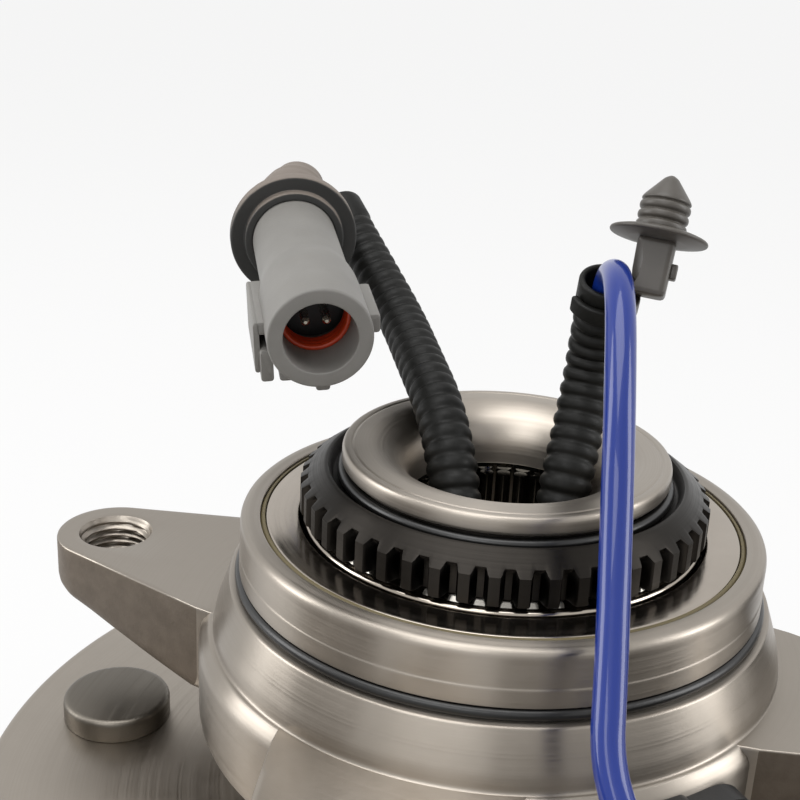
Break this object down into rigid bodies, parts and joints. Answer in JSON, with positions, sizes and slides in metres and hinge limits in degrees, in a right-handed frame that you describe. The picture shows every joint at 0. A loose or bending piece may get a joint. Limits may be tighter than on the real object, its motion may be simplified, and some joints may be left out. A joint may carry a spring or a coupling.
{
  "type": "wheel hub bearing",
  "caption": "Flanged wheel hub bearing unit with tapped knuckle lobes, wheel studs, clutch gear ring and a speed-sensor lead stored through the bore.",
  "frame": {"origin": "hub axis at the face that meets the steering knuckle", "axes": "+Z along the hub axis, inboard towards the clutch gear; the four knuckle lobes lie on X and Y"},
  "size_m": [0.19, 0.19, 0.1729],
  "materials": {
    "machined_steel": "machined, light tool marks",
    "gear_steel": "dark hardened steel",
    "bearing_steel": "ground and polished",
    "seal_steel": "pressed sheet, bright",
    "stud_steel": "dark plated",
    "o_ring_rubber": "glossy black",
    "seal_rubber": "olive brown",
    "grommet_rubber": "worn matt",
    "cable_jacket": "glossy blue",
    "conduit_plastic": "near black",
    "connector_plastic": "mid grey",
    "clip_plastic": "warm grey",
    "black_plastic": "black",
    "cage_plastic": "natural polyamide",
    "seal_silicone": "orange red",
    "pin_metal": "tinned"
  },
  "bodies": {
    "knuckle_side": {"outer_ring": "machined_steel", "pilot_o_ring": "o_ring_rubber", "inboard_seal_case": "seal_steel", "inboard_seal_rubber": "seal_rubber", "outboard_seal": "o_ring_rubber", "sensor_body": "black_plastic", "sensor_o_ring": "o_ring_rubber", "sensor_screw": "stud_steel", "sensor_cable": "cable_jacket", "conduit": "conduit_plastic", "connector_cable": "cable_jacket", "connector_housing": "connector_plastic", "connector_seal": "seal_silicone", "connector_insert": "black_plastic", "connector_pins": "pin_metal", "grommet": "grommet_rubber", "fir_tree_clip": "clip_plastic"},
    "hub": {"wheel_hub": "machined_steel", "wheel_studs": "stud_steel", "inner_ring": "bearing_steel", "clutch_gear": "gear_steel", "gear_o_ring": "o_ring_rubber", "tone_ring": "gear_steel", "inboard_slinger": "seal_steel", "needle_cup": "bearing_steel"},
    "inboard_ball_set": {"inboard_balls": "bearing_steel", "inboard_cage": "cage_plastic"},
    "outboard_ball_set": {"outboard_balls": "bearing_steel", "outboard_cage": "cage_plastic"},
    "needle_set": {"needle_rollers": "bearing_steel"}
  },
  "joints": [
    {"name": "hub_spin", "type": "hinge", "parent": "knuckle_side", "child": "hub", "pos_m": [0, 0, 0], "axis": [0, 0, 1], "continuous": true},
    {"name": "inboard_row_spin", "type": "hinge", "parent": "knuckle_side", "child": "inboard_ball_set", "pos_m": [0, 0, 0.009], "axis": [0, 0, 1], "continuous": true},
    {"name": "outboard_row_spin", "type": "hinge", "parent": "knuckle_side", "child": "outboard_ball_set", "pos_m": [0, 0, -0.02], "axis": [0, 0, 1], "continuous": true},
    {"name": "needle_spin", "type": "hinge", "parent": "hub", "child": "needle_set", "pos_m": [0, 0, 0.01], "axis": [0, 0, 1], "continuous": true}
  ],
  "couplings": [
    {"joint": "inboard_row_spin", "follows": "hub_spin", "ratio": 0.4349},
    {"joint": "outboard_row_spin", "follows": "hub_spin", "ratio": 0.4349}
  ]
}
